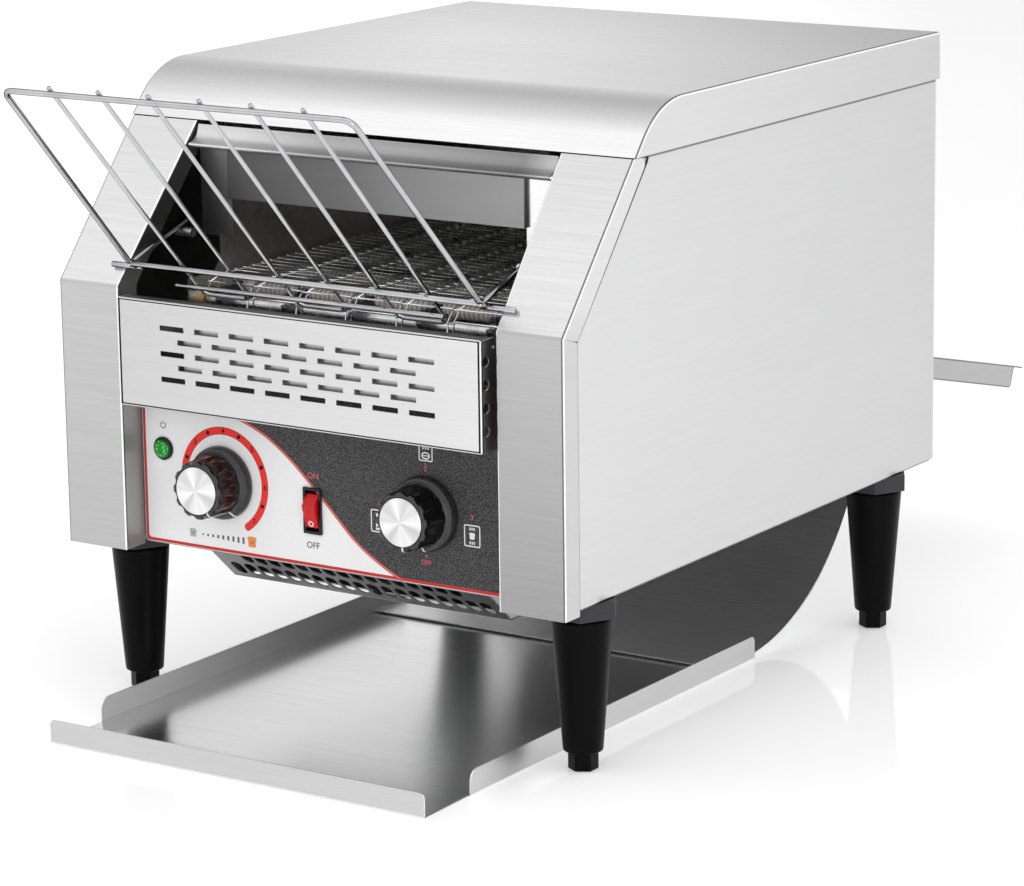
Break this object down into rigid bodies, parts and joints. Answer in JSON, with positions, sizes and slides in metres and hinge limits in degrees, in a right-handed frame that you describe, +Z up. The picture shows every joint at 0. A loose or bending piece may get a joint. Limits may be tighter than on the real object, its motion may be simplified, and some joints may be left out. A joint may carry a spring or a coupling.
{
  "type": "conveyor toaster",
  "caption": "Counter-top conveyor toaster with sloping wire bread rack, wire belt between quartz heaters, curved toast chute and tray, knob controls and cone legs.",
  "frame": {"origin": "on the surface the toaster stands on, under the middle of its overall box", "axes": "+X to the right seen from the front, +Y towards the back, +Z up"},
  "size_m": [0.3768, 0.7578, 0.4094],
  "materials": {
    "brushed_steel": "fine horizontal brushing",
    "inner_steel": "dull satin",
    "panel_steel": "dark grey powder coat",
    "overlay": "printed polyester film, white and charcoal fields with red lines",
    "belt_steel": "heat-darkened wire",
    "shaft_steel": "turned",
    "bronze": "sintered bronze",
    "zinc": "cast housing",
    "quartz": "milky quartz",
    "ceramic": "ceramic",
    "black_plastic": "fine grain",
    "gloss_black": "gloss",
    "knob_cap": "radial brushing",
    "red_rocker": "gloss",
    "green_lens": "faceted translucent",
    "chrome_wire": "polished",
    "leg_black": "satin",
    "collar_grey": "satin",
    "circuit_board": "solder mask",
    "switch_body": "moulded"
  },
  "bodies": {
    "cabinet": {"base_plate": "inner_steel", "side_panel_left": "brushed_steel", "side_panel_right": "brushed_steel", "front_column_left": "brushed_steel", "front_column_right": "brushed_steel", "top_lid": "brushed_steel", "back_panel": "brushed_steel", "header_band": "brushed_steel", "entry_baffle": "inner_steel", "slotted_guard": "brushed_steel", "control_panel": "panel_steel", "control_overlay": "overlay", "air_inlet_box": "brushed_steel", "chamber_wall_left": "inner_steel", "chamber_wall_right": "inner_steel", "upper_reflector": "inner_steel", "lower_heat_shield": "inner_steel", "compartment_wall": "inner_steel", "upper_heater_tubes": "quartz", "lower_heater_tubes": "quartz", "heater_end_caps": "ceramic", "conveyor_belt": "belt_steel", "shaft_bushes": "bronze", "gear_motor": "zinc", "motor_bracket": "inner_steel", "drive_chain": "belt_steel", "fan_housing": "black_plastic", "speed_potentiometer": "switch_body", "heat_selector_switch": "switch_body", "rocker_bezel": "gloss_black", "lamp_bezel": "gloss_black", "lamp_lens": "green_lens", "rack_support_pins": "shaft_steel", "return_chute": "brushed_steel", "rear_deflector": "brushed_steel", "leg_collars": "collar_grey", "legs": "leg_black", "control_electronics": "circuit_board", "cable_gland": "black_plastic"},
    "speed_control": {"speed_knob": "gloss_black", "speed_knob_cap": "knob_cap", "speed_spindle": "shaft_steel"},
    "heat_selector": {"heat_knob": "gloss_black", "heat_knob_cap": "knob_cap", "heat_spindle": "shaft_steel"},
    "power_rocker": {"rocker_button": "red_rocker"},
    "drive_roller": {"drive_shaft": "shaft_steel", "drive_rollers": "shaft_steel", "driven_sprocket": "shaft_steel"},
    "idler_roller": {"idler_shaft": "shaft_steel", "idler_rollers": "shaft_steel"},
    "motor_output": {"motor_sprocket": "shaft_steel"},
    "cooling_fan": {"fan_rotor": "black_plastic"},
    "bread_rack": {"rack_frame": "chrome_wire", "rack_wires": "chrome_wire"},
    "tray": {"toast_tray": "brushed_steel"},
    "levelling_foot_fl": {"foot_front_left": "leg_black"},
    "levelling_foot_fr": {"foot_front_right": "leg_black"},
    "levelling_foot_rl": {"foot_rear_left": "leg_black"},
    "levelling_foot_rr": {"foot_rear_right": "leg_black"}
  },
  "joints": [
    {"name": "speed_knob_turn", "type": "hinge", "parent": "cabinet", "child": "speed_control", "pos_m": [-0.0755, -0.25228, 0.1504], "axis": [0, 1, 0], "range_deg": [0, 270]},
    {"name": "heat_selector_turn", "type": "hinge", "parent": "cabinet", "child": "heat_selector", "pos_m": [0.0755, -0.25228, 0.1504], "axis": [0, 1, 0], "range_deg": [0, 270]},
    {"name": "power_rocker_tilt", "type": "hinge", "parent": "cabinet", "child": "power_rocker", "pos_m": [-0.0072, -0.24178, 0.1412], "axis": [1, 0, 0], "range_deg": [0, 16]},
    {"name": "drive_shaft_spin", "type": "hinge", "parent": "cabinet", "child": "drive_roller", "pos_m": [0, 0.12972, 0.252], "axis": [1, 0, 0], "continuous": true},
    {"name": "idler_shaft_spin", "type": "hinge", "parent": "cabinet", "child": "idler_roller", "pos_m": [0, -0.19828, 0.252], "axis": [1, 0, 0], "continuous": true},
    {"name": "motor_output_spin", "type": "hinge", "parent": "cabinet", "child": "motor_output", "pos_m": [0.128, 0.06772, 0.16], "axis": [1, 0, 0], "continuous": true},
    {"name": "fan_spin", "type": "hinge", "parent": "cabinet", "child": "cooling_fan", "pos_m": [0, -0.17628, 0.12], "axis": [0, 0, 1], "continuous": true},
    {"name": "rack_lift_off", "type": "slide", "parent": "cabinet", "child": "bread_rack", "axis": [0, -0.5, 0.866], "range_m": [0, 0.08]},
    {"name": "tray_pull_out", "type": "slide", "parent": "cabinet", "child": "tray", "axis": [0, -1, 0], "range_m": [0, 0.25]},
    {"name": "foot_fl_screw", "type": "slide", "parent": "cabinet", "child": "levelling_foot_fl", "axis": [0, 0, -1], "range_m": [0, 0.012]},
    {"name": "foot_fr_screw", "type": "slide", "parent": "cabinet", "child": "levelling_foot_fr", "axis": [0, 0, -1], "range_m": [0, 0.012]},
    {"name": "foot_rl_screw", "type": "slide", "parent": "cabinet", "child": "levelling_foot_rl", "axis": [0, 0, -1], "range_m": [0, 0.012]},
    {"name": "foot_rr_screw", "type": "slide", "parent": "cabinet", "child": "levelling_foot_rr", "axis": [0, 0, -1], "range_m": [0, 0.012]}
  ],
  "couplings": [
    {"joint": "idler_shaft_spin", "follows": "drive_shaft_spin", "ratio": 1},
    {"joint": "motor_output_spin", "follows": "drive_shaft_spin", "ratio": 1}
  ]
}
